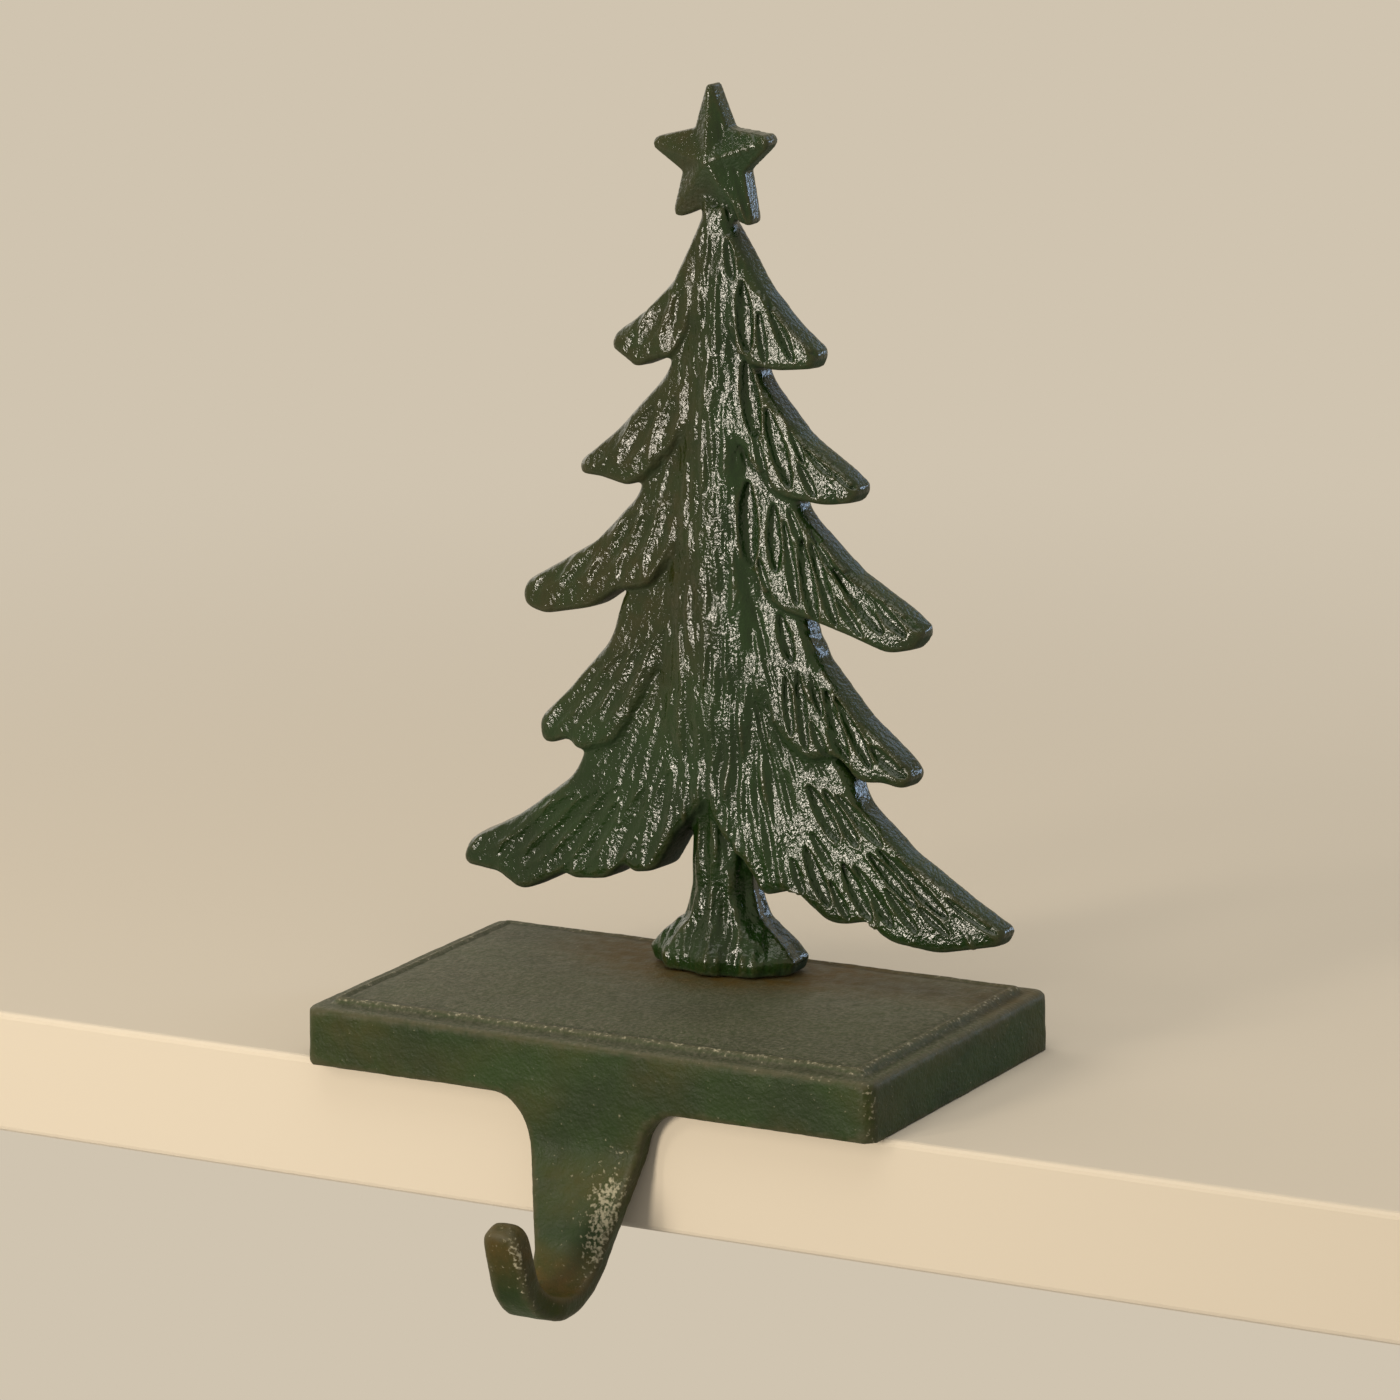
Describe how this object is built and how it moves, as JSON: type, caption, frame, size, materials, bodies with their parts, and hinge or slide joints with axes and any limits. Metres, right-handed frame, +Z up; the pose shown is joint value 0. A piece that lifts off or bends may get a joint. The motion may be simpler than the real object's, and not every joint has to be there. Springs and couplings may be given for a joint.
{
  "type": "mantel stocking holder",
  "caption": "Fir tree figure with a star on a heavy moulded base that sits on a mantel, with a strap over the front edge ending in an upturned hook for a stocking.",
  "frame": {"origin": "mid-width, at the inner corner that sits on the mantel's top front edge, where the base's underside meets the strap's back", "axes": "+X along the mantel's edge to the right, +Y towards the wall, +Z up"},
  "size_m": [0.12, 0.1011, 0.2154],
  "materials": {
    "base_paint": "matt dark green paint rubbed brown on the edges",
    "tree_paint": "glossy dark green paint over the sand-cast grain",
    "zinc_steel": "zinc plated"
  },
  "bodies": {
    "root": {"hook_base": "base_paint", "tree": "tree_paint", "tree_screw": "zinc_steel", "screw_washer": "zinc_steel"}
  },
  "joints": []
}
